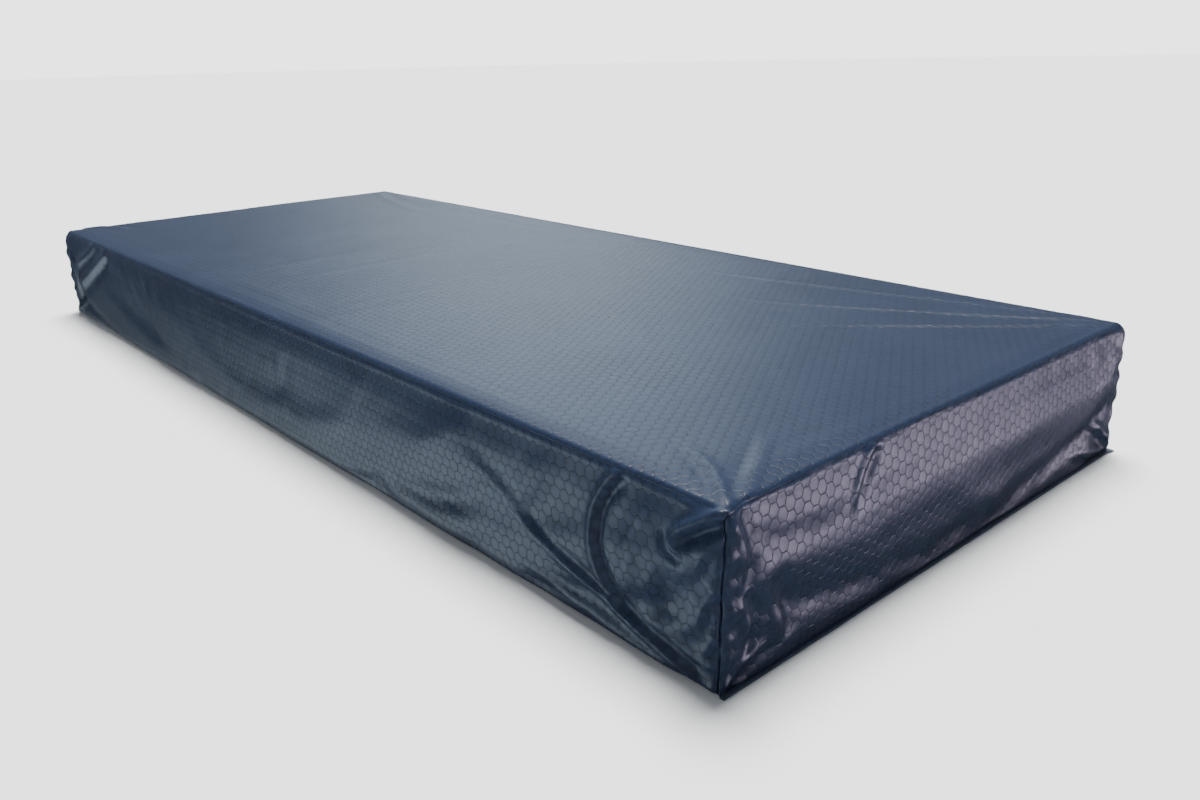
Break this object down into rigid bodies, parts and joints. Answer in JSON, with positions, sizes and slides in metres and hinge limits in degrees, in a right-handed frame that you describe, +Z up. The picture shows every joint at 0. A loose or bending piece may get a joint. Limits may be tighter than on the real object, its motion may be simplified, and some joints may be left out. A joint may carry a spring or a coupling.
{
  "type": "pressure relief mattress",
  "caption": "Rectangular zoned-foam pressure relief mattress in a coated stretch cover with inverted corner seams and a zip along one long side.",
  "frame": {"origin": "centre of the underside, on the plane the mattress rests on", "axes": "+X along the length to the foot end, +Y across the width to the long side with the zip, +Z up"},
  "size_m": [2.032, 0.889, 0.203],
  "materials": {
    "cover_fabric": "glossy coated stretch fabric with a fine hexagon pattern, steel blue",
    "base_fabric": "matt coated fabric, dark navy",
    "seam_fabric": "folded coated fabric, steel blue",
    "label": "blank woven patch, off-white",
    "zip_tape": "woven tape, near black",
    "zip_teeth": "moulded, dark grey",
    "zip_metal": "satin die-cast, grey",
    "sock": "knitted fire barrier, off-white",
    "foam_soft": "open-cell foam, cream",
    "foam_zone": "open-cell foam, pale blue",
    "foam_mid": "open-cell foam, pale green",
    "foam_rail": "dense open-cell foam, pale grey"
  },
  "bodies": {
    "mattress": {"cover_top": "cover_fabric", "cover_base": "base_fabric", "corner_seam_foot_left": "seam_fabric", "corner_seam_foot_right": "seam_fabric", "corner_seam_head_left": "seam_fabric", "corner_seam_head_right": "seam_fabric", "base_seam_foot": "seam_fabric", "base_seam_head": "seam_fabric", "base_seam_side": "seam_fabric", "care_label": "label", "zip_tape_upper": "zip_tape", "zip_tape_lower": "zip_tape", "zip_teeth_upper": "zip_teeth", "zip_teeth_lower": "zip_teeth", "zip_end_stops": "zip_metal", "zip_guard": "seam_fabric", "fire_barrier_sock": "sock", "top_foam_head": "foam_zone", "top_foam_torso": "foam_soft", "top_foam_heel": "foam_zone", "mid_foam": "foam_mid", "base_foam": "foam_soft", "rail_zip_side": "foam_rail", "rail_seam_side": "foam_rail", "rail_head": "foam_rail", "rail_foot": "foam_rail"},
    "slider": {"zip_slider": "zip_metal"},
    "pull": {"zip_pull": "zip_metal"}
  },
  "joints": [
    {"name": "zip_slide", "type": "slide", "parent": "mattress", "child": "slider", "axis": [-1, 0, 0], "range_m": [0, 1.868]},
    {"name": "pull_swing", "type": "hinge", "parent": "slider", "child": "pull", "pos_m": [0.934, 0.441, 0.026], "axis": [0, 0, -1], "range_deg": [0, 175]}
  ]
}
